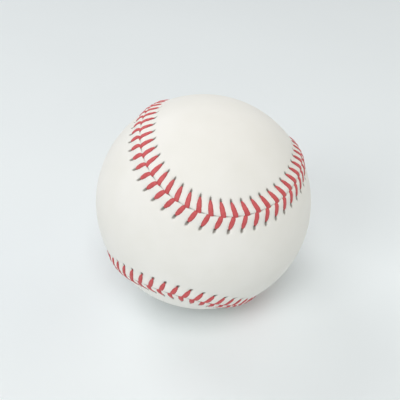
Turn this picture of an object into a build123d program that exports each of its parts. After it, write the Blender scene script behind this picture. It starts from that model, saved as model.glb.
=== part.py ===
from build123d import *
import os
from math import cos, pi, sin, sqrt

# A stitched leather ball: a moulded centre, three windings, two cover panels and two threads.
# The origin is the ball's centre. The ball lies as photographed, with +Z up and the viewer at -Y.

# Driving dimensions of the ball and its cover, in millimetres
ball_circumference = 228.6
cover_thickness = 1.3
edge_rounding = 0.45
seam_waist = 30.7

# Driving dimensions of what is inside
centre_diameter = 34.9
grey_winding_thickness = 13.9
finishing_winding_thickness = 1.0

# Driving dimensions of the stitching
stitch_count = 108
thread_setback = 3.7
strand_lean = 1.07
panel_stagger = 0.65
strand_width = 1.5
strand_height = 0.6
strand_hole_width = 0.8
strand_shoulder_width = 1.3
strand_shoulder_height = 0.5
hidden_thread_height = 0.4
needle_slot_reach = 0.9
thread_clearance = 0.05
bed_margin = 0.4
tail_share = 0.6

# How far along the seam the first strand comes up, in stitches
first_strand_place = 0.869

# How the ball lies, as turns about its own X, Y and Z in degrees
lying_turns = (-95.81, 7.2, -29.96)

# Where a strand is at its fullest and where its shoulder is, as shares of its way from the slot to the seam
belly_share = 0.5
shoulder_share = 0.8

# How far cutting tools stand past the leather
tool_overrun = 1.0

# Points that carry each closed spline round the ball
seam_points = 54

# Sizes that follow
ball_radius = ball_circumference / pi / 2
cover_inside = ball_radius - cover_thickness
white_winding_radius = cover_inside - finishing_winding_thickness
centre_radius = centre_diameter / 2
grey_winding_radius = centre_radius + grey_winding_thickness
seam_gap = hidden_thread_height + 2 * thread_clearance
under_radius = cover_inside - thread_clearance - hidden_thread_height / 2
lying = Plane.XY.rotated(lying_turns)

# The seam is the closed curve of a wide turn and a narrow triple turn, which lies on the ball
# because the two shares add up to one. Their difference is the neck's share of the diameter.
narrow_share = (1 - seam_waist / (2 * ball_radius)) / 2
wide_share = 1 - narrow_share
rise_share = 2 * sqrt(wide_share * narrow_share)


def seam_point(turn):
    """A point of the seam, where turn goes from 0 to 1 round the ball."""
    angle = 2 * pi * turn
    across = wide_share * cos(angle) + narrow_share * cos(3 * angle)
    along = wide_share * sin(angle) - narrow_share * sin(3 * angle)
    up = rise_share * sin(2 * angle)
    return lying.from_local_coords(Vector(across, along, up) * ball_radius)


with BuildLine() as seam:
    Spline(*[seam_point(i / seam_points) for i in range(seam_points)], periodic=True)
seam_line = seam.edge()
stitch_pitch = seam_line.length / stitch_count


def seam_turn(place):
    """The share of the seam's length at a place counted in stitches."""
    return place / stitch_count % 1


def beside_seam(place, across, radius):
    """A point across millimetres to the left of the seam, at a distance from the ball's centre."""
    outward = (seam_line @ seam_turn(place)).normalized()
    left = outward.cross(seam_line % seam_turn(place)).normalized()
    angle = across / ball_radius
    return (outward * cos(angle) + left * sin(angle)) * radius


def line_beside_seam(across, radius):
    """A closed line that keeps its distance to the left of the seam."""
    places = [stitch_count * i / seam_points for i in range(seam_points)]
    return Edge.make_spline([beside_seam(place, across, radius) for place in places], periodic=True)


def wall_beside_seam(across):
    """A wall through the cover, square to it, that keeps its distance to the left of the seam."""
    bottom = line_beside_seam(across, white_winding_radius - tool_overrun)
    top = line_beside_seam(across, ball_radius + tool_overrun)
    return Face.make_surface_from_curves(bottom, top)


# Each strand goes from a needle slot to the seam: panel a is left of the seam and panel b right of it
left_of_seam = 1
right_of_seam = -1
lean_places = strand_lean / stitch_pitch
stagger_places = panel_stagger / stitch_pitch

# At the seam the strands of both panels go down side by side, with a clearance on each side
strand_seam_width = min(panel_stagger, stitch_pitch - panel_stagger) - 2 * thread_clearance


def strand_place(stitch, side):
    """Where a stitch's strand comes up beside the seam, counted in stitches."""
    lag = stagger_places if side == right_of_seam else 0
    return stitch + first_strand_place - lag


def strand_point(stitch, side, share, radius):
    """A point of a strand, at a share of its way from the needle slot to the seam."""
    place = strand_place(stitch, side) + share * lean_places
    return beside_seam(place, side * thread_setback * (1 - share), radius)


def strand_heading(stitch, side):
    """The direction of a strand on the leather, from its needle slot to the seam."""
    return strand_point(stitch, side, 1, ball_radius) - strand_point(stitch, side, 0, ball_radius)


def needle_plane(stitch, side):
    """The plane of a strand's start on the leather, with X along the strand and Z out of the ball."""
    start = strand_point(stitch, side, 0, ball_radius)
    return Plane(start, x_dir=strand_heading(stitch, side), z_dir=start)


# The centre and the windings, each wound on what is inside it
with BuildPart() as cork_rubber_centre:
    Sphere(centre_radius)
cork_rubber_centre.part.label = "cork_rubber_centre"

with BuildPart() as grey_yarn_winding:
    Sphere(grey_winding_radius)
    Sphere(centre_radius, mode=Mode.SUBTRACT)
grey_yarn_winding.part.label = "grey_yarn_winding"

with BuildPart() as white_yarn_winding:
    Sphere(white_winding_radius)
    Sphere(grey_winding_radius, mode=Mode.SUBTRACT)
white_yarn_winding.part.label = "white_yarn_winding"

# The bed that the hidden runs of thread press into the finishing winding, a band along the seam.
# A hidden run is straight, so the bed also takes its drop below the curve of the cover.
hidden_run_drop = (thread_setback + stitch_pitch) ** 2 / (8 * cover_inside)
bed_depth = hidden_thread_height + 2 * thread_clearance + hidden_run_drop
bed_half_width = thread_setback + needle_slot_reach + bed_margin
spine_of_a = Plane((0, 0, 0), x_dir=lying.z_dir, z_dir=lying.x_dir - lying.y_dir)

with BuildPart() as thread_bed:
    with Locations(spine_of_a):
        Sphere(ball_radius)
        Sphere(cover_inside - bed_depth, mode=Mode.SUBTRACT)
    split(bisect_by=wall_beside_seam(-bed_half_width), keep=Keep.BOTTOM)
    split(bisect_by=wall_beside_seam(bed_half_width), keep=Keep.TOP)

with BuildPart() as finishing_winding:
    with Locations(spine_of_a):
        Sphere(cover_inside)
        Sphere(white_winding_radius, mode=Mode.SUBTRACT)
    add(thread_bed.part, clean=False, mode=Mode.SUBTRACT)
finishing_winding.part.label = "finishing_winding"


# The two cover panels, each cut along the seam, rounded at its edge and pierced by the needle. A slot reaches
# past its thread on the side away from the seam, because the stitches are pulled tight towards the seam.
slot_seam_end = hidden_thread_height / 2 + thread_clearance
slot_length = 2 * slot_seam_end + needle_slot_reach
slot_width = strand_hole_width + 2 * thread_clearance
slot_depth = 2 * (cover_thickness + tool_overrun)
largest_edge_rounding = cover_thickness / 2


def cover_panel(side, kept):
    """One leather panel, with a row of needle slots along its edge."""
    with BuildPart() as slots:
        with Locations(*[needle_plane(stitch, side) for stitch in range(stitch_count)]):
            with Locations((slot_seam_end - slot_length / 2, 0)):
                Box(slot_length, slot_width, slot_depth)
    with BuildPart() as panel:
        with Locations(spine_of_a):
            Sphere(ball_radius)
            Sphere(cover_inside, mode=Mode.SUBTRACT)
        split(bisect_by=wall_beside_seam(side * seam_gap / 2), keep=kept)
        rim = panel.edges().filter_by(GeomType.BSPLINE).sort_by(SortBy.LENGTH)[-1]
        fillet(rim, min(edge_rounding, largest_edge_rounding))
        add(slots.part, clean=False, mode=Mode.SUBTRACT)
    return panel


cover_panel_a = cover_panel(left_of_seam, Keep.BOTTOM)
cover_panel_a.part.label = "cover_panel_a"

cover_panel_b = cover_panel(right_of_seam, Keep.TOP)
cover_panel_b.part.label = "cover_panel_b"


# The two threads, each of which takes every other slot of each panel. A stitch comes up through a
# needle slot, lies over the leather, goes down the seam and runs hidden under the other panel.
def strand_side(stitch, side):
    """The direction across a strand on the leather, which points onwards along the seam."""
    outward = strand_point(stitch, side, 0, 1)
    return outward.cross(strand_heading(stitch, side)) * side


def stitch_stops(stitch, side):
    """The stops of one stitch, each with its point, its direction across, its width and its height."""
    lying_radius = ball_radius + thread_clearance
    over_radius = lying_radius + hidden_thread_height / 2
    belly_radius = lying_radius + strand_height / 2
    shoulder_radius = lying_radius + strand_shoulder_height / 2
    across_strand = strand_side(stitch, side)
    across_seam = seam_line % seam_turn(strand_place(stitch, side) + lean_places)
    at_hole = (across_strand, strand_hole_width, hidden_thread_height)
    at_belly = (across_strand, strand_width, strand_height)
    at_shoulder = (across_strand, strand_shoulder_width, strand_shoulder_height)
    at_seam = (across_seam, strand_seam_width, hidden_thread_height)
    return [
        (strand_point(stitch, side, 0, under_radius), *at_hole),
        (strand_point(stitch, side, 0, over_radius), *at_hole),
        (strand_point(stitch, side, belly_share, belly_radius), *at_belly),
        (strand_point(stitch, side, shoulder_share, shoulder_radius), *at_shoulder),
        (strand_point(stitch, side, 1, over_radius), *at_seam),
        (strand_point(stitch, side, 1, under_radius), *at_seam),
    ]


def thread_stops(first_side):
    """The stops of a whole thread, whose two ends are tucked under the cover."""
    sides = [first_side * (-1) ** stitch for stitch in range(stitch_count)]
    stops = []
    for stitch, side in enumerate(sides):
        stops += stitch_stops(stitch, side)
    seam_bottom, across_seam, width, height = stops[-1]
    way_on = strand_point(stitch_count, first_side, 0, under_radius) - seam_bottom
    stops.append((seam_bottom + way_on * tail_share, across_seam, width, height))
    return stops


def thread_sections(first_side):
    """The corners of the thread's four-sided section at each stop, mitred where the thread turns."""
    stops = thread_stops(first_side)
    points = [stop[0] for stop in stops]
    runs = [(end - start).normalized() for start, end in zip(points, points[1:])]
    sections = []
    for i, (point, across, width, height) in enumerate(stops):
        before = runs[max(i - 1, 0)]
        after = runs[min(i, len(runs) - 1)]
        heading = (before + after).normalized()
        mitred_height = height / heading.dot(after)
        plane = Plane(point, x_dir=across, z_dir=heading)
        halves = [(width / 2, 0), (0, mitred_height / 2), (-width / 2, 0), (0, -mitred_height / 2)]
        sections.append([plane.from_local_coords(Vector(*half)) for half in halves])
    return sections


def stitching_thread(first_side):
    """One whole thread, skinned with ruled faces from each of its sections to the next."""
    sections = thread_sections(first_side)
    faces = [Face(Wire.make_polygon(sections[end])) for end in (0, -1)]
    for here, there in zip(sections, sections[1:]):
        for corner in range(len(here)):
            near = Edge.make_line(here[corner - 1], here[corner])
            far = Edge.make_line(there[corner - 1], there[corner])
            faces.append(Face.make_surface_from_curves(near, far))
    with BuildPart() as thread:
        add(Solid(Shell(faces)))
    return thread


stitching_thread_a = stitching_thread(left_of_seam)
stitching_thread_a.part.label = "stitching_thread_a"

stitching_thread_b = stitching_thread(right_of_seam)
stitching_thread_b.part.label = "stitching_thread_b"

# Each piece is written to its own file
os.makedirs("parts", exist_ok=True)
pieces = [
    cork_rubber_centre,
    grey_yarn_winding,
    white_yarn_winding,
    finishing_winding,
    cover_panel_a,
    cover_panel_b,
    stitching_thread_a,
    stitching_thread_b,
]
for piece in pieces:
    export_step(piece.part, f"parts/{piece.part.label}.step")
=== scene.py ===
import math

import bpy
import numpy as np
from mathutils import Euler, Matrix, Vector
from mathutils.geometry import delaunay_2d_cdt


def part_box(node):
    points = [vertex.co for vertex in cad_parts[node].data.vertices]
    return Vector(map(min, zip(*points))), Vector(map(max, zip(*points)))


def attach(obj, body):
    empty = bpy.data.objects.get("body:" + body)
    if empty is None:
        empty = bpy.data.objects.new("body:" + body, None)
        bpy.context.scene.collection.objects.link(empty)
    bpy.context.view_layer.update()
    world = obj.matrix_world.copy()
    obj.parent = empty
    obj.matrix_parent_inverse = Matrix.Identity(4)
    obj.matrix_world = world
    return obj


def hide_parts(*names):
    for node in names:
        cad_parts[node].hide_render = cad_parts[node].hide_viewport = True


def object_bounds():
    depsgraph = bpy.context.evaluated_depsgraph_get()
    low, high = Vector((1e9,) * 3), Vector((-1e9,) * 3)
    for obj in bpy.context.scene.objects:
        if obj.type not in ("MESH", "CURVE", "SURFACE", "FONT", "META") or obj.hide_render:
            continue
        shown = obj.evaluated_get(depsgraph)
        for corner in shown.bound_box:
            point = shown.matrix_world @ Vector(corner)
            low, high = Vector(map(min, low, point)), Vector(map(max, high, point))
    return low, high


# A stitched leather ball, dressed over its solids. The origin is the ball's centre, and +Z is up.
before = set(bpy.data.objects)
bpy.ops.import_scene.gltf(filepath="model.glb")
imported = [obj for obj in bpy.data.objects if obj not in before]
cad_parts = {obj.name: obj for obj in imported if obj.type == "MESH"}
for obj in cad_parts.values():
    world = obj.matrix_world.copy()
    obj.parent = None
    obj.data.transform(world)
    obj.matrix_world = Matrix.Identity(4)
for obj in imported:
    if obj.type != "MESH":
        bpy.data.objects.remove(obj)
cad_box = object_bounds()
mm = 0.001

# The ball, from its solids
ball_radius = max(cad_box[1])
leather_inside = max(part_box("finishing_winding")[1])
leather_thickness = ball_radius - leather_inside

# The seam and where its stitches are, as in the solids
seam_waist = 30.7 * mm
lying_turns = (-95.81, 7.2, -29.96)
stitch_count = 108
first_strand_place = 0.869
thread_setback = 3.7 * mm
strand_lean = 1.07 * mm
panel_stagger = 0.65 * mm
left_of_seam = 1
right_of_seam = -1

# The leather along the seam: its edges, its ridge, the grooves under the strands and the holes' dimples
seam_gap = 0.04 * mm
edge_rounding = 0.12 * mm
swell_height = 0.65 * mm
swell_place = 0.9 * mm
swell_fall = 1.9 * mm
swell_share_at_seam = 0.6
groove_depth = 0.35 * mm
groove_width = 0.6 * mm
dimple_depth = 0.14 * mm
dimple_width = 0.8 * mm

# The needle holes, whose middles lie past the strands' starts by a share of the strands' way to the seam
needle_hole_length = 1.3 * mm
needle_hole_width = 0.42 * mm
hole_bluntness = 3
hole_bottom_length = 0.7 * mm
hole_bottom_width = 0.5 * mm
hole_bottom_depth = 0.5 * mm
hole_share = 0.16
hole_setback = thread_setback * (1 + hole_share)
hole_lean = strand_lean * (1 + hole_share)

# How far the painted shade reaches from the lip of a needle hole, from the seam and along it past a
# strand's end
hole_shade_reach = 0.1 * mm
seam_shade_reach = 0.2 * mm
strand_end_reach = 0.8 * mm

# The mesh of the leather, where each count of lines includes the first and the last of its stretch
columns_per_stitch = 16
columns_per_coarse = 4
wall_lines = 4
edge_lines = 7
lines_before_holes = 20
lines_after_holes = 11
band_width = 8 * mm
hole_columns = 4
hole_rows = 5
hole_block = 1.3 * mm
hole_warp_reach = 2.4
field_spacing = 1.1 * mm
field_setback = 1.7 * field_spacing

# The thread, which comes up through the end of its needle hole nearer to the seam
ply_count = 4
ply_relief = 0.1
twist_pitch = 6 * mm
thread_sides = 20
steps_per_control = 3
strand_variation = 0.05
hidden_thread_depth = leather_thickness + 0.25 * mm
hidden_width = 0.75 * mm
hidden_thickness = 0.4 * mm
hidden_shares = (0.02, 0.35, 0.65, 0.98)

# The strands of each panel: each control is its share of the way from the hole to the seam and, in
# millimetres, its height above the swell of the leather, its width and its thickness
strands_of_a = (
    (-0.07, -1.20, 0.50, 0.40),
    (-0.07, -0.50, 0.50, 0.40),
    (-0.04, -0.20, 0.62, 0.40),
    (0.08, -0.06, 0.92, 0.42),
    (0.28, -0.08, 1.24, 0.50),
    (0.55, -0.12, 1.46, 0.54),
    (0.80, -0.12, 1.50, 0.54),
    (0.97, -0.08, 1.44, 0.50),
    (1.05, -0.25, 1.20, 0.42),
    (1.02, -1.30, 0.60, 0.40),
)
strands_of_b = (
    (0.00, -1.20, 0.50, 0.40),
    (0.00, -0.50, 0.50, 0.40),
    (0.02, -0.20, 0.62, 0.40),
    (0.12, -0.06, 1.00, 0.42),
    (0.30, -0.08, 1.32, 0.50),
    (0.52, -0.12, 1.46, 0.52),
    (0.75, -0.12, 1.36, 0.50),
    (0.90, -0.16, 1.16, 0.46),
    (0.98, -0.40, 0.90, 0.42),
    (1.00, -1.30, 0.60, 0.40),
)

# Colours
leather_dark = (0.86, 0.845, 0.79)
leather_light = (0.895, 0.88, 0.835)
# A dark colour painted as shade in and round the needle holes and at the seam past each strand's end
painted_shade_colour = (0.25, 0.235, 0.205)
# Deeper reds painted as shade on the thread's sides and underside, lighter reds painted as highlight along
# its top
shaded_red_dark = (0.4, 0.035, 0.045)
shaded_red_light = (0.48, 0.055, 0.06)
highlight_red_dark = (0.56, 0.075, 0.08)
highlight_red_light = (0.65, 0.11, 0.115)
grey_yarn_dark = (0.3, 0.3, 0.3)
grey_yarn_light = (0.5, 0.5, 0.49)
white_yarn_dark = (0.6, 0.58, 0.53)
white_yarn_light = (0.82, 0.8, 0.75)
cotton_dark = (0.66, 0.64, 0.58)
cotton_light = (0.85, 0.83, 0.77)
cork_colour = (0.36, 0.22, 0.12)
rubber_colour = (0.06, 0.045, 0.04)
floor_dark = (0.86, 0.905, 0.92)
floor_light = (0.875, 0.92, 0.935)
backdrop_colour = (0.78, 0.83, 0.85)
warm_light = (1, 0.96, 0.78)

# The room: its floor in metres, and the strength of its even light
floor_reach = 4.0
floor_fade_start = 0.42
floor_fade_end = 0.95
room_light = 0.25

# The camera, whose lens and shift come from the ball's size and place in the photograph, in pixels
image_width = 400
ball_centre_right = 3.5
ball_centre_down = 1.6
silhouette_radius = 107.6
camera_distance = 5.7 * ball_radius
camera_elevation = math.radians(35)


# The seam is the closed curve of a wide turn and a narrow triple turn, as in the solids
narrow_share = (1 - seam_waist / (2 * ball_radius)) / 2
wide_share = 1 - narrow_share
rise_share = 2 * math.sqrt(wide_share * narrow_share)
lying = np.array(Euler([math.radians(turn) for turn in lying_turns], "ZYX").to_matrix())


def seam_points(angles):
    """Points of the seam on a ball of radius 1, one for each angle."""
    across = wide_share * np.cos(angles) + narrow_share * np.cos(3 * angles)
    along = wide_share * np.sin(angles) - narrow_share * np.sin(3 * angles)
    up = rise_share * np.sin(2 * angles)
    return np.stack([across, along, up], -1) @ lying.T


# The seam, measured in fine steps, and its places, which are counted in stitches
fine_seam_points = 20001
fine_angles = np.linspace(0, 2 * math.pi, fine_seam_points)
fine_steps = np.linalg.norm(np.diff(seam_points(fine_angles), axis=0), axis=1)
seam_length = fine_steps.sum() * ball_radius
stitch_pitch = seam_length / stitch_count
fine_places = np.concatenate([[0], np.cumsum(fine_steps)]) * ball_radius / stitch_pitch
lean_places = strand_lean / stitch_pitch
stagger_places = panel_stagger / stitch_pitch


def unit(vectors):
    """The same directions at a length of 1."""
    return vectors / np.linalg.norm(vectors, axis=-1, keepdims=True)


def seam_directions(places):
    """The outward, onward and leftward directions of the seam, at places counted in stitches."""
    angles = np.interp(places % stitch_count, fine_places, fine_angles)
    little = 1e-4
    outward = seam_points(angles)
    onward = unit(seam_points(angles + little) - seam_points(angles - little))
    return outward, onward, np.cross(outward, onward)


def beside_seam(places, across, radius):
    """Points at a distance to the left of the seam and at a radius from the ball's centre."""
    outward, _, leftward = seam_directions(places)
    turn = (across / ball_radius)[..., None]
    return radius[..., None] * (outward * np.cos(turn) + leftward * np.sin(turn))


def strand_place(stitch, side):
    """Where a stitch's strand comes up beside the seam, counted in stitches."""
    lag = stagger_places if side == right_of_seam else 0
    return stitch + first_strand_place - lag


def hole_place(stitch, side):
    """Where the middle of a stitch's needle hole is along the seam, counted in stitches."""
    return strand_place(stitch, side) - hole_share * lean_places


def off_nearest(along, place):
    """How far along the seam a point is from the nearest repeat of a place that each stitch has."""
    return (along - place + stitch_pitch / 2) % stitch_pitch - stitch_pitch / 2


# Each piece and its place in the frame
def add_piece(name, points, faces, material, node):
    """A smooth mesh that stands for a node of the solids."""
    mesh = bpy.data.meshes.new(name)
    mesh.from_pydata(points.tolist(), [], faces)
    mesh.shade_smooth()
    mesh.materials.append(material)
    piece = bpy.data.objects.new(name, mesh)
    bpy.context.scene.collection.objects.link(piece)
    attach(piece, "root")
    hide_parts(node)
    return piece


def mark_points(piece, name, values):
    """Gives each point of a piece a value that its material reads."""
    attribute = piece.data.attributes.new(name, "FLOAT", "POINT")
    attribute.data.foreach_set("value", values)


# The leather panels: a band of rows along the seam, wrapped round the panel's edge, and the field inside it
columns = stitch_count * columns_per_stitch
middle_column = columns_per_stitch // 2
tile_along = (np.arange(columns_per_stitch) - middle_column) * stitch_pitch / columns_per_stitch
hole_lines = hole_setback + np.linspace(-hole_block / 2, hole_block / 2, hole_rows + 1)
strand_slant = math.atan2(-thread_setback, strand_lean)


def corner(column, row):
    """The index of a corner of the band's mesh."""
    return row * columns + column % columns


def panel_rows():
    """The rows of a panel's section, from the inside of the leather, round its edge and out over its face.

    Gives each row's distance from the seam and depth, and the first row of the holes on both sides."""
    inside = np.concatenate([[band_width], hole_lines[::-1], [hole_setback / 2, seam_gap / 2]])
    wall_depth = np.linspace(leather_thickness, edge_rounding, wall_lines)[1:-1]
    wall = np.full(len(wall_depth), seam_gap / 2)
    arc = np.linspace(0, math.pi / 2, edge_lines)
    edge = seam_gap / 2 + edge_rounding * (1 - np.cos(arc))
    edge_depth = edge_rounding * (1 - np.sin(arc))
    before_holes = np.linspace(edge[-1], hole_lines[0], lines_before_holes)[1:-1]
    after_holes = np.linspace(hole_lines[-1], band_width, lines_after_holes)[1:]
    across = np.concatenate([inside, wall, edge, before_holes, hole_lines, after_holes])
    depth = np.concatenate([np.full(len(inside), leather_thickness), wall_depth, edge_depth])
    depth = np.concatenate([depth, np.zeros(len(across) - len(depth))])
    face_first = len(inside) + len(wall) + len(edge) + len(before_holes)
    inside_first = 1
    return across, depth, inside_first, face_first


def blunt(part):
    """A sine or cosine, changed so that an oval drawn with it has blunt ends."""
    return np.sign(part) * np.abs(part) ** (2 / hole_bluntness)


def oval(angle, length, width, share):
    """The outline of a needle hole, about a point at a share of the strand's way to the seam."""
    long_part = length / 2 * blunt(np.cos(angle - strand_slant))
    short_part = width / 2 * blunt(np.sin(angle - strand_slant))
    along = long_part * math.cos(strand_slant) - short_part * math.sin(strand_slant)
    across = long_part * math.sin(strand_slant) + short_part * math.cos(strand_slant)
    return along + (share + hole_share) * strand_lean, across + (1 - share) * thread_setback


def from_hole(along, across):
    """The direction from the middle of a needle hole, and the distance in halves of its block of cells."""
    right = along / (hole_columns / columns_per_stitch * stitch_pitch / 2)
    up = (across - hole_setback) / (hole_block / 2)
    return np.arctan2(up, right), np.maximum(np.abs(right), np.abs(up))


def open_holes(along, across, on_face):
    """Moves the mesh lines round each needle hole, so that the block of cells in it becomes an oval."""
    angle, distance = from_hole(along, across)
    reach = np.maximum(distance, 1)
    share = np.clip((hole_warp_reach - reach) / (hole_warp_reach - 1), 0, 1)
    top_along, top_across = oval(angle, needle_hole_length, needle_hole_width, -hole_share)
    bottom_along, bottom_across = oval(angle, hole_bottom_length, hole_bottom_width, 0)
    oval_along = np.where(on_face, top_along, bottom_along)
    oval_across = np.where(on_face, top_across, bottom_across)
    along_moved = along + share * (oval_along - along / reach)
    across_moved = across + share * (oval_across - hole_setback - (across - hole_setback) / reach)
    return along_moved, across_moved


def seam_swell(across):
    """How far the leather swells off the ball beside the seam, where the stitches draw up a ridge."""
    off_crest = np.abs(across) - swell_place
    to_seam = 1 - (1 - swell_share_at_seam) * (off_crest / swell_place) ** 2
    to_field = np.exp(-(off_crest / swell_fall) ** 2)
    return swell_height * np.where(off_crest < 0, to_seam, to_field)


def leather_height(along, across):
    """How far the leather's face stands off the ball, by the place along a stitch and across the seam."""
    fade = np.clip((band_width - across) / (band_width - hole_setback), 0, 1)
    off_strand = off_nearest(along, hole_lean * (1 - across / hole_setback))
    past_hole = np.clip((across - hole_setback) / dimple_width, 0, None)
    groove = groove_depth * np.exp(-(off_strand / groove_width) ** 2 - past_hole ** 2)
    off_hole = np.hypot(along, across - hole_setback)
    dimple = dimple_depth * np.exp(-(off_hole / dimple_width) ** 2)
    return (seam_swell(across) - groove) * fade ** 2 * (3 - 2 * fade) - dimple


def painted_leather_shade(along, across):
    """How much painted shade the leather gets: at the lip of each needle hole, and at the seam past each
    strand's end.
    """
    long_part = along * math.cos(strand_slant) + (across - hole_setback) * math.sin(strand_slant)
    short_part = (across - hole_setback) * math.cos(strand_slant) - along * math.sin(strand_slant)
    long_share = np.abs(long_part) / (needle_hole_length / 2)
    short_share = np.abs(short_part) / (needle_hole_width / 2)
    lip = (long_share ** hole_bluntness + short_share ** hole_bluntness) ** (1 / hole_bluntness)
    past_lip = np.clip(lip - 1, 0, None) * needle_hole_width / 2
    past_end = off_nearest(along, hole_lean + strand_end_reach)
    off_seam = across - seam_gap / 2
    at_seam = np.exp(-(past_end / strand_end_reach) ** 2 - (off_seam / seam_shade_reach) ** 2)
    return np.maximum(np.exp(-(past_lip / hole_shade_reach) ** 2), at_seam)


def block_ring():
    """The corners round a needle hole's block of cells, each as a column and a row of the block."""
    wide, high = hole_columns, hole_rows
    ring = [(i, 0) for i in range(wide)] + [(wide, j) for j in range(high)]
    ring += [(wide - i, high) for i in range(wide)] + [(0, high - j) for j in range(high)]
    return np.array(ring).T


def leather_band(side):
    """The band of leather along the seam: its points, their painted shade, its faces and its count of rows.
    """
    across_lines, depth_lines, inside_first, face_first = panel_rows()
    rows = len(across_lines)
    along, across = np.meshgrid(np.tile(tile_along, stitch_count), across_lines)
    depth = np.repeat(depth_lines[:, None], columns, axis=1)
    along, across = open_holes(along, across, depth < leather_thickness)
    radius = ball_radius - depth + (1 - depth / leather_thickness) * leather_height(along, across)
    stitches = np.repeat(np.arange(stitch_count), columns_per_stitch)
    places = hole_place(stitches, side) + along / stitch_pitch
    points = beside_seam(places, side * across, radius).reshape(-1, 3)

    column, row = np.meshgrid(np.arange(columns), np.arange(rows - 1))
    quads = np.stack([corner(column, row), corner(column + 1, row),
                      corner(column + 1, row + 1), corner(column, row + 1)], -1)
    in_hole = np.abs(column % columns_per_stitch - middle_column + 0.5) < hole_columns / 2
    for first in (inside_first, face_first):
        quads[first:first + hole_rows][in_hole[:hole_rows]] = -1
    quads = quads[quads[..., 0] >= 0]

    ring_column, ring_row = block_ring()
    first_column = middle_column - hole_columns // 2
    angle, _ = from_hole(tile_along[first_column + ring_column], hole_lines[ring_row])
    bottom_along, bottom_across = oval(angle, hole_bottom_length, hole_bottom_width, 0)
    stitch = np.arange(stitch_count)[:, None]
    bottom_places = hole_place(stitch, side) + bottom_along / stitch_pitch
    bottom_radius = np.full(bottom_places.shape, ball_radius - hole_bottom_depth)
    bottom = beside_seam(bottom_places, side * bottom_across[None], bottom_radius).reshape(-1, 3)
    ring_columns = stitch * columns_per_stitch + first_column + ring_column
    face_ring = corner(ring_columns, face_first + ring_row)
    inside_ring = corner(ring_columns, inside_first + hole_rows - ring_row)
    bottom_ring = len(points) + stitch * len(ring_row) + np.arange(len(ring_row))
    for upper, lower in ((face_ring, bottom_ring), (bottom_ring, inside_ring)):
        wall = np.stack([np.roll(upper, 1, 1), upper, lower, np.roll(lower, 1, 1)], -1)
        quads = np.concatenate([quads, wall.reshape(-1, 4)])
    # The bottoms of the needle holes take the full painted shade.
    painted_shade = np.concatenate([painted_leather_shade(along, across).ravel(), np.ones(len(bottom))])
    return np.concatenate([points, bottom]), painted_shade, quads, rows


def spread_points():
    """Points spread evenly over a ball of radius 1."""
    count = int(4 * math.pi * ball_radius ** 2 / (field_spacing ** 2 * math.sqrt(3) / 2))
    steps = np.arange(count) + 0.5
    height = 1 - 2 * steps / count
    turn = math.pi * (1 + math.sqrt(5)) * steps
    across = np.sqrt(1 - height ** 2)
    return np.stack([across * np.cos(turn), across * np.sin(turn), height], -1)


def leather_field(side):
    """The leather inside the band: its points on the ball, those of its rim first, and its triangles."""
    coarse = columns // columns_per_coarse
    coarse_columns = np.arange(coarse) * columns_per_coarse
    places = hole_place(0, side) + (coarse_columns - middle_column) / columns_per_stitch
    rim_across = np.full(coarse, side * (band_width + field_spacing))
    rim = beside_seam(places, rim_across, np.ones(coarse))
    outward, _, leftward = seam_directions(places)
    spread = spread_points()
    nearest = np.argmax(spread @ outward.T, axis=1)
    off_seam = side * np.arcsin(np.sum(spread * leftward[nearest], axis=1)) * ball_radius
    inner = spread[off_seam > band_width + field_setback]
    points = np.concatenate([rim, inner])
    neck = lying[:, 2] * side
    flat = points @ lying[:, :2] / (1 + points @ neck)[:, None]
    rim_edges = [(i, (i + 1) % coarse) for i in range(coarse)]
    inside_rim = 1
    merging_distance = 1e-9
    _, _, filled, origins, _, _ = delaunay_2d_cdt(
        [Vector(point) for point in flat], rim_edges, [], inside_rim, merging_distance)
    source = np.array([origin[0] for origin in origins])
    triangles = source[np.array(filled)]
    first, second, third = points[triangles.T]
    inward = np.sum(np.cross(second - first, third - first) * first, axis=1) * side < 0
    triangles[inward] = triangles[inward][:, ::-1]
    return points * ball_radius, triangles


def joining_strip(row, rim_start):
    """Triangles from a row of the band to the coarser rim of the field."""
    coarse = columns // columns_per_coarse
    half = columns_per_coarse // 2
    counts = np.arange(coarse)
    fine = [corner(counts * columns_per_coarse + k, row) for k in range(columns_per_coarse + 1)]
    here = counts + rim_start
    there = (counts + 1) % coarse + rim_start
    fans = [(fine[k], fine[k + 1], here if k < half else there) for k in range(columns_per_coarse)]
    fans.append((fine[half], there, here))
    return np.concatenate([np.stack(fan, -1) for fan in fans])


def leather_panel(name, node, side, material):
    """One figure-of-eight panel of leather with its needle holes."""
    band, painted_shade, quads, rows = leather_band(side)
    field, triangles = leather_field(side)
    face_start = len(band)
    inside_start = face_start + len(field)
    points = np.concatenate([band, field, field * leather_inside / ball_radius])
    face = np.concatenate([joining_strip(rows - 1, face_start), triangles + face_start])
    inside = np.concatenate([joining_strip(0, inside_start), triangles + inside_start])[:, ::-1]
    order = slice(None, None, side)
    faces = quads[:, order].tolist() + face[:, order].tolist() + inside[:, order].tolist()
    panel = add_piece(name, points, faces, material, node)
    # Painted shade for the band's points; the field's points, inside and out, get none.
    mark_points(panel, "painted_shade", np.concatenate([painted_shade, np.zeros(2 * len(field))]))


# The threads
def thread_controls(first_side):
    """The controls of a whole thread: place, distance left of the seam, height, width and thickness."""
    chance = np.random.default_rng(stitch_count + first_side)
    controls = []
    for stitch in range(stitch_count):
        side = first_side * (-1) ** stitch
        start = strand_place(stitch, side)
        fullness = 1 + strand_variation * chance.uniform(-1, 1)
        sway = strand_variation * chance.uniform(-1, 1)
        strand = strands_of_a if side == left_of_seam else strands_of_b
        for share, height, width, thickness in strand:
            across = side * thread_setback * (1 - share)
            place = start + share * lean_places + sway * share * (1 - share)
            controls.append((place, across, height * mm + seam_swell(across),
                             width * fullness * mm, thickness * fullness * mm))
        down = start + lean_places
        way_on = strand_place(stitch + 1, -side) - down
        for share in hidden_shares:
            across = -side * thread_setback * share
            controls.append((down + share * way_on, across, -hidden_thread_depth,
                             hidden_width, hidden_thickness))
    return np.array(controls)


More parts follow.
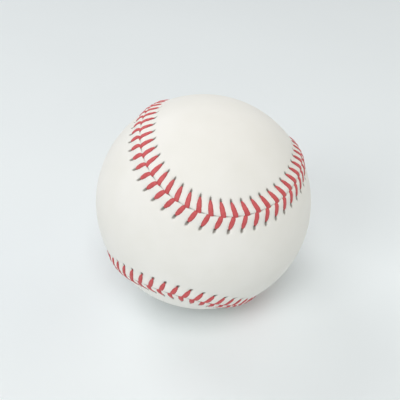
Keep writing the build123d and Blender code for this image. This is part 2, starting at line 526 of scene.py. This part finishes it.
def smooth_through(controls, steps):
    """Points on a smooth line through the controls, with a number of steps between each two."""
    padded = np.concatenate([controls[:1], controls, controls[-1:]])
    before, here, there, after = padded[:-3], padded[1:-2], padded[2:-1], padded[3:]
    stages = []
    for step in range(steps):
        t = step / steps
        stages.append(0.5 * (2 * here + (there - before) * t
                             + (2 * before - 5 * here + 4 * there - after) * t ** 2
                             + (3 * here - before - 3 * there + after) * t ** 3))
    return np.concatenate([np.stack(stages, 1).reshape(-1, controls.shape[1]), controls[-1:]])


def tube_faces(stations):
    """The faces of a closed tube of rings, with a cap at each end."""
    sides = list(range(thread_sides))
    faces = []
    for ring in range(0, (stations - 1) * thread_sides, thread_sides):
        for here in sides:
            there = (here + 1) % thread_sides
            faces.append([ring + here, ring + there,
                          ring + thread_sides + there, ring + thread_sides + here])
    faces.append(sides[::-1])
    faces.append([(stations - 1) * thread_sides + here for here in sides])
    return faces


def stitching_thread(name, node, first_side, material):
    """One needle's thread, twisted from plies, over the leather and under it all round the ball."""
    controls = smooth_through(thread_controls(first_side), steps_per_control)
    places, across, height, width, thickness = controls.T
    centres = beside_seam(places, across, ball_radius + height)
    heading = unit(np.gradient(centres, axis=0))
    outward, onward, _ = seam_directions(places)
    sideways = unit(onward - heading * np.sum(onward * heading, axis=1, keepdims=True))
    upward = np.cross(heading, sideways)
    lengths = np.concatenate([[0], np.cumsum(np.linalg.norm(np.diff(centres, axis=0), axis=1))])
    angles = 2 * math.pi * np.arange(thread_sides) / thread_sides
    twist = 2 * math.pi * lengths / twist_pitch
    lobes = 1 + ply_relief * np.abs(np.cos(ply_count / 2 * (angles[None] - twist[:, None])))
    wide = (width / 2)[:, None] * np.cos(angles) * lobes
    high = (thickness / 2)[:, None] * np.sin(angles) * lobes
    rings = centres[:, None] + wide[..., None] * sideways[:, None] + high[..., None] * upward[:, None]
    thread = add_piece(name, rings.reshape(-1, 3), tube_faces(len(centres)), material, node)
    # A painted highlight: each point's share of the lighter red, by how far it faces out from the ball, so
    # the strands' tops read as lit and their sides as shaded.
    facing_out = np.sign(np.sum(upward * outward, axis=1))
    painted_highlight = np.clip(facing_out[:, None] * np.sin(angles), 0, 1)
    mark_points(thread, "painted_highlight", painted_highlight.ravel())


# Materials
def new_material(name):
    """A new node material, with its shader and its object coordinates."""
    material = bpy.data.materials.new(name)
    material.use_nodes = True
    tree = material.node_tree
    shader = tree.nodes["Principled BSDF"]
    coordinates = tree.nodes.new("ShaderNodeTexCoord")
    return material, tree, shader, coordinates.outputs["Object"]


def noise(tree, coordinates, size):
    """Noise whose features are about one size across, in metres."""
    texture = tree.nodes.new("ShaderNodeTexNoise")
    texture.inputs["Scale"].default_value = 1 / size
    texture.inputs["Detail"].default_value = 3
    tree.links.new(coordinates, texture.inputs["Vector"])
    return texture.outputs["Fac"]


def cells(tree, coordinates, size):
    """The distance to the nearest of a scatter of points that are about one size apart."""
    texture = tree.nodes.new("ShaderNodeTexVoronoi")
    texture.inputs["Scale"].default_value = 1 / size
    tree.links.new(coordinates, texture.inputs["Vector"])
    return texture.outputs["Distance"]


def ramp(tree, factor, low_colour, high_colour, low=0.3, high=0.7):
    """A colour that goes from one to another between a low and a high value of a factor."""
    node = tree.nodes.new("ShaderNodeValToRGB")
    ends = ((low, low_colour), (high, high_colour))
    for element, (position, colour) in zip(node.color_ramp.elements, ends):
        element.position = position
        element.color = (*colour, 1)
    tree.links.new(factor, node.inputs["Fac"])
    return node.outputs["Color"]


def grey(level):
    """A grey colour, for a value that a ramp gives."""
    return (level, level, level)


def mix_by_points(tree, name, base):
    """A mix of a base colour and one still to be given, by a value that the mesh's points carry."""
    value = tree.nodes.new("ShaderNodeAttribute")
    value.attribute_name = name
    mixed = tree.nodes.new("ShaderNodeMix")
    mixed.data_type = "RGBA"
    tree.links.new(value.outputs["Fac"], mixed.inputs["Factor"])
    tree.links.new(base, mixed.inputs["A"])
    return mixed


def bump(tree, shader, heights):
    """Adds reliefs to a shader, each a height texture, a strength and a depth in metres."""
    normal = None
    for height, strength, depth in heights:
        node = tree.nodes.new("ShaderNodeBump")
        node.inputs["Strength"].default_value = strength
        node.inputs["Distance"].default_value = depth
        tree.links.new(height, node.inputs["Height"])
        if normal is not None:
            tree.links.new(normal, node.inputs["Normal"])
        normal = node.outputs["Normal"]
    tree.links.new(normal, shader.inputs["Normal"])


def leather_material():
    """Smooth white cover leather with a fine grain, darkened by painted shade where its points say so."""
    material, tree, shader, coordinates = new_material("white_leather")
    blotches = noise(tree, coordinates, size=12 * mm)
    # Mixes towards a dark colour as painted shade in and round the needle holes and at the seam.
    mixed = mix_by_points(tree, "painted_shade", ramp(tree, blotches, leather_dark, leather_light))
    mixed.inputs["B"].default_value = (*painted_shade_colour, 1)
    tree.links.new(mixed.outputs["Result"], shader.inputs["Base Color"])
    sheen = noise(tree, coordinates, size=3 * mm)
    tree.links.new(ramp(tree, sheen, grey(0.46), grey(0.58)), shader.inputs["Roughness"])
    shader.inputs["Specular IOR Level"].default_value = 0.4
    grain = cells(tree, coordinates, size=0.35 * mm)
    pores = noise(tree, coordinates, size=0.8 * mm)
    bump(tree, shader, [(grain, 0.12, 0.02 * mm), (pores, 0.2, 0.04 * mm)])
    return material


def thread_material():
    """Waxed red thread, with a painted highlight of lighter red along its top and painted shade of deeper
    red on its sides.
    """
    material, tree, shader, coordinates = new_material("red_thread")
    tone = noise(tree, coordinates, size=1.2 * mm)
    # Deeper red as painted shade, mixed towards lighter red as painted highlight by the points' values.
    mixed = mix_by_points(tree, "painted_highlight", ramp(tree, tone, shaded_red_dark, shaded_red_light))
    tree.links.new(ramp(tree, tone, highlight_red_dark, highlight_red_light), mixed.inputs["B"])
    tree.links.new(mixed.outputs["Result"], shader.inputs["Base Color"])
    fibre = noise(tree, coordinates, size=0.12 * mm)
    tree.links.new(ramp(tree, fibre, grey(0.5), grey(0.65)), shader.inputs["Roughness"])
    bump(tree, shader, [(fibre, 0.4, 0.03 * mm)])
    return material


def yarn_material(name, dark, light, turn_size):
    """Wound yarn, in slightly wavering turns of one size."""
    material, tree, shader, coordinates = new_material(name)
    wave = tree.nodes.new("ShaderNodeTexWave")
    wave_radians_per_metre = 20
    wave.inputs["Scale"].default_value = 2 * math.pi / (wave_radians_per_metre * turn_size)
    wave.inputs["Distortion"].default_value = 2
    tree.links.new(coordinates, wave.inputs["Vector"])
    turns = wave.outputs["Fac"]
    tree.links.new(ramp(tree, turns, dark, light, low=0.2, high=0.8), shader.inputs["Base Color"])
    shader.inputs["Roughness"].default_value = 0.9
    fluff = noise(tree, coordinates, size=turn_size / 3)
    bump(tree, shader, [(turns, 0.6, turn_size / 3), (fluff, 0.4, turn_size / 8)])
    return material


def cork_material():
    """Cork granules moulded in dark rubber."""
    material, tree, shader, coordinates = new_material("cork_rubber")
    granules = cells(tree, coordinates, size=1.6 * mm)
    colour = ramp(tree, granules, cork_colour, rubber_colour, low=0.25, high=0.6)
    tree.links.new(colour, shader.inputs["Base Color"])
    shader.inputs["Roughness"].default_value = 0.8
    bump(tree, shader, [(granules, 0.4, 0.2 * mm)])
    return material


def dress_node(name, material):
    """Gives a node of the solids a material of its own."""
    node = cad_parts[name]
    node.data.materials.clear()
    node.data.materials.append(material)


leather = leather_material()
leather_panel("leather_panel_a", "cover_panel_a", left_of_seam, leather)
leather_panel("leather_panel_b", "cover_panel_b", right_of_seam, leather)
red = thread_material()
stitching_thread("red_thread_a", "stitching_thread_a", left_of_seam, red)
stitching_thread("red_thread_b", "stitching_thread_b", right_of_seam, red)
dress_node("cork_rubber_centre", cork_material())
grey_yarn = yarn_material("grey_yarn", grey_yarn_dark, grey_yarn_light, turn_size=1.2 * mm)
white_yarn = yarn_material("white_yarn", white_yarn_dark, white_yarn_light, turn_size=1 * mm)
fine_cotton = yarn_material("fine_cotton", cotton_dark, cotton_light, turn_size=0.4 * mm)
dress_node("grey_yarn_winding", grey_yarn)
dress_node("white_yarn_winding", white_yarn)
dress_node("finishing_winding", fine_cotton)


# The floor, the light and the camera
def seen_or_mirrored(tree):
    """1 where the camera, a gloss or a glass looks, and 0 for the light that falls on things."""
    path = tree.nodes.new("ShaderNodeLightPath")
    looks = path.outputs["Is Camera Ray"]
    for kind in ("Is Glossy Ray", "Is Transmission Ray"):
        either = tree.nodes.new("ShaderNodeMath")
        either.operation = "MAXIMUM"
        tree.links.new(looks, either.inputs[0])
        tree.links.new(path.outputs[kind], either.inputs[1])
        looks = either.outputs["Value"]
    return looks


def far_from_ball(tree, coordinates):
    """0 on the floor near the ball, and 1 where the floor has faded into the backdrop."""
    distance = tree.nodes.new("ShaderNodeVectorMath")
    distance.operation = "LENGTH"
    tree.links.new(coordinates, distance.inputs[0])
    fade = tree.nodes.new("ShaderNodeMapRange")
    fade.interpolation_type = "SMOOTHSTEP"
    fade.inputs["From Min"].default_value = floor_fade_start
    fade.inputs["From Max"].default_value = floor_fade_end
    tree.links.new(distance.outputs["Value"], fade.inputs["Value"])
    return fade.outputs["Result"]


def mix_shaders(tree, share, first, second, output):
    """Sends a mix of two shaders to an output."""
    mixed = tree.nodes.new("ShaderNodeMixShader")
    tree.links.new(share, mixed.inputs["Fac"])
    tree.links.new(first, mixed.inputs[1])
    tree.links.new(second, mixed.inputs[2])
    tree.links.new(mixed.outputs["Shader"], tree.nodes[output].inputs["Surface"])


def add_floor():
    """A plain pale floor that the ball lies on, which fades into the backdrop far from the ball."""
    material, tree, shader, coordinates = new_material("pale_floor")
    tone = noise(tree, coordinates, size=150 * mm)
    tree.links.new(ramp(tree, tone, floor_dark, floor_light), shader.inputs["Base Color"])
    shader.inputs["Roughness"].default_value = 0.7
    shader.inputs["Specular IOR Level"].default_value = 0.2
    faded = tree.nodes.new("ShaderNodeMath")
    faded.operation = "MULTIPLY"
    tree.links.new(far_from_ball(tree, coordinates), faded.inputs[0])
    tree.links.new(seen_or_mirrored(tree), faded.inputs[1])
    pale = tree.nodes.new("ShaderNodeEmission")
    pale.inputs["Color"].default_value = (*backdrop_colour, 1)
    mix_shaders(tree, faded.outputs["Value"], shader.outputs["BSDF"], pale.outputs["Emission"],
                "Material Output")
    corners = [(-1, -1), (1, -1), (1, 1), (-1, 1)]
    points = [(x * floor_reach, y * floor_reach, -ball_radius) for x, y in corners]
    mesh = bpy.data.meshes.new("floor")
    mesh.from_pydata(points, [], [range(len(corners))])
    mesh.materials.append(material)
    floor = bpy.data.objects.new("floor", mesh)
    bpy.context.scene.collection.objects.link(floor)


def add_softbox(name, place, size, power, colour=(1, 1, 1)):
    """A square soft light that faces the ball."""
    light = bpy.data.lights.new(name, "AREA")
    light.size = size
    light.energy = power
    light.color = colour
    lamp = bpy.data.objects.new(name, light)
    lamp.location = place
    lamp.rotation_euler = (-Vector(place)).to_track_quat("-Z", "Y").to_euler()
    bpy.context.scene.collection.objects.link(lamp)


def add_world():
    """A faint even light from all round, and a pale backdrop for what looks past the floor."""
    world = bpy.data.worlds.new("pale_room")
    world.use_nodes = True
    tree = world.node_tree
    even = tree.nodes["Background"]
    even.inputs["Color"].default_value = (1, 1, 1, 1)
    even.inputs["Strength"].default_value = room_light
    pale = tree.nodes.new("ShaderNodeBackground")
    pale.inputs["Color"].default_value = (*backdrop_colour, 1)
    mix_shaders(tree, seen_or_mirrored(tree), even.outputs["Background"], pale.outputs["Background"],
                "World Output")
    bpy.context.scene.world = world


def add_camera():
    """The camera at the photograph's viewing angle."""
    camera = bpy.data.cameras.new("camera")
    viewer = bpy.data.objects.new("camera", camera)
    away = Vector((0, -math.cos(camera_elevation), math.sin(camera_elevation)))
    viewer.location = away * camera_distance
    viewer.rotation_euler = (-away).to_track_quat("-Z", "Y").to_euler()
    focal_pixels = silhouette_radius * math.sqrt((camera_distance / ball_radius) ** 2 - 1)
    camera.lens = focal_pixels / image_width * camera.sensor_width
    camera.shift_x = -ball_centre_right / image_width
    camera.shift_y = ball_centre_down / image_width
    camera.clip_start = 10 * mm
    bpy.context.scene.collection.objects.link(viewer)
    bpy.context.scene.camera = viewer


add_floor()
add_world()
add_softbox("front", place=(0, -0.5, 0.87), size=0.5, power=3.85)
add_softbox("front_left", place=(-0.55, -0.6, 0.55), size=0.4, power=2.35)
add_softbox("back_left", place=(-0.5, 0.5, 0.7), size=0.5, power=2.3)
add_softbox("right", place=(0.85, -0.1, 0.5), size=0.6, power=0.95, colour=warm_light)
add_softbox("back_right", place=(0.6, 0.5, 0.6), size=0.6, power=1.1)
add_camera()
bpy.context.scene.view_settings.view_transform = "Standard"
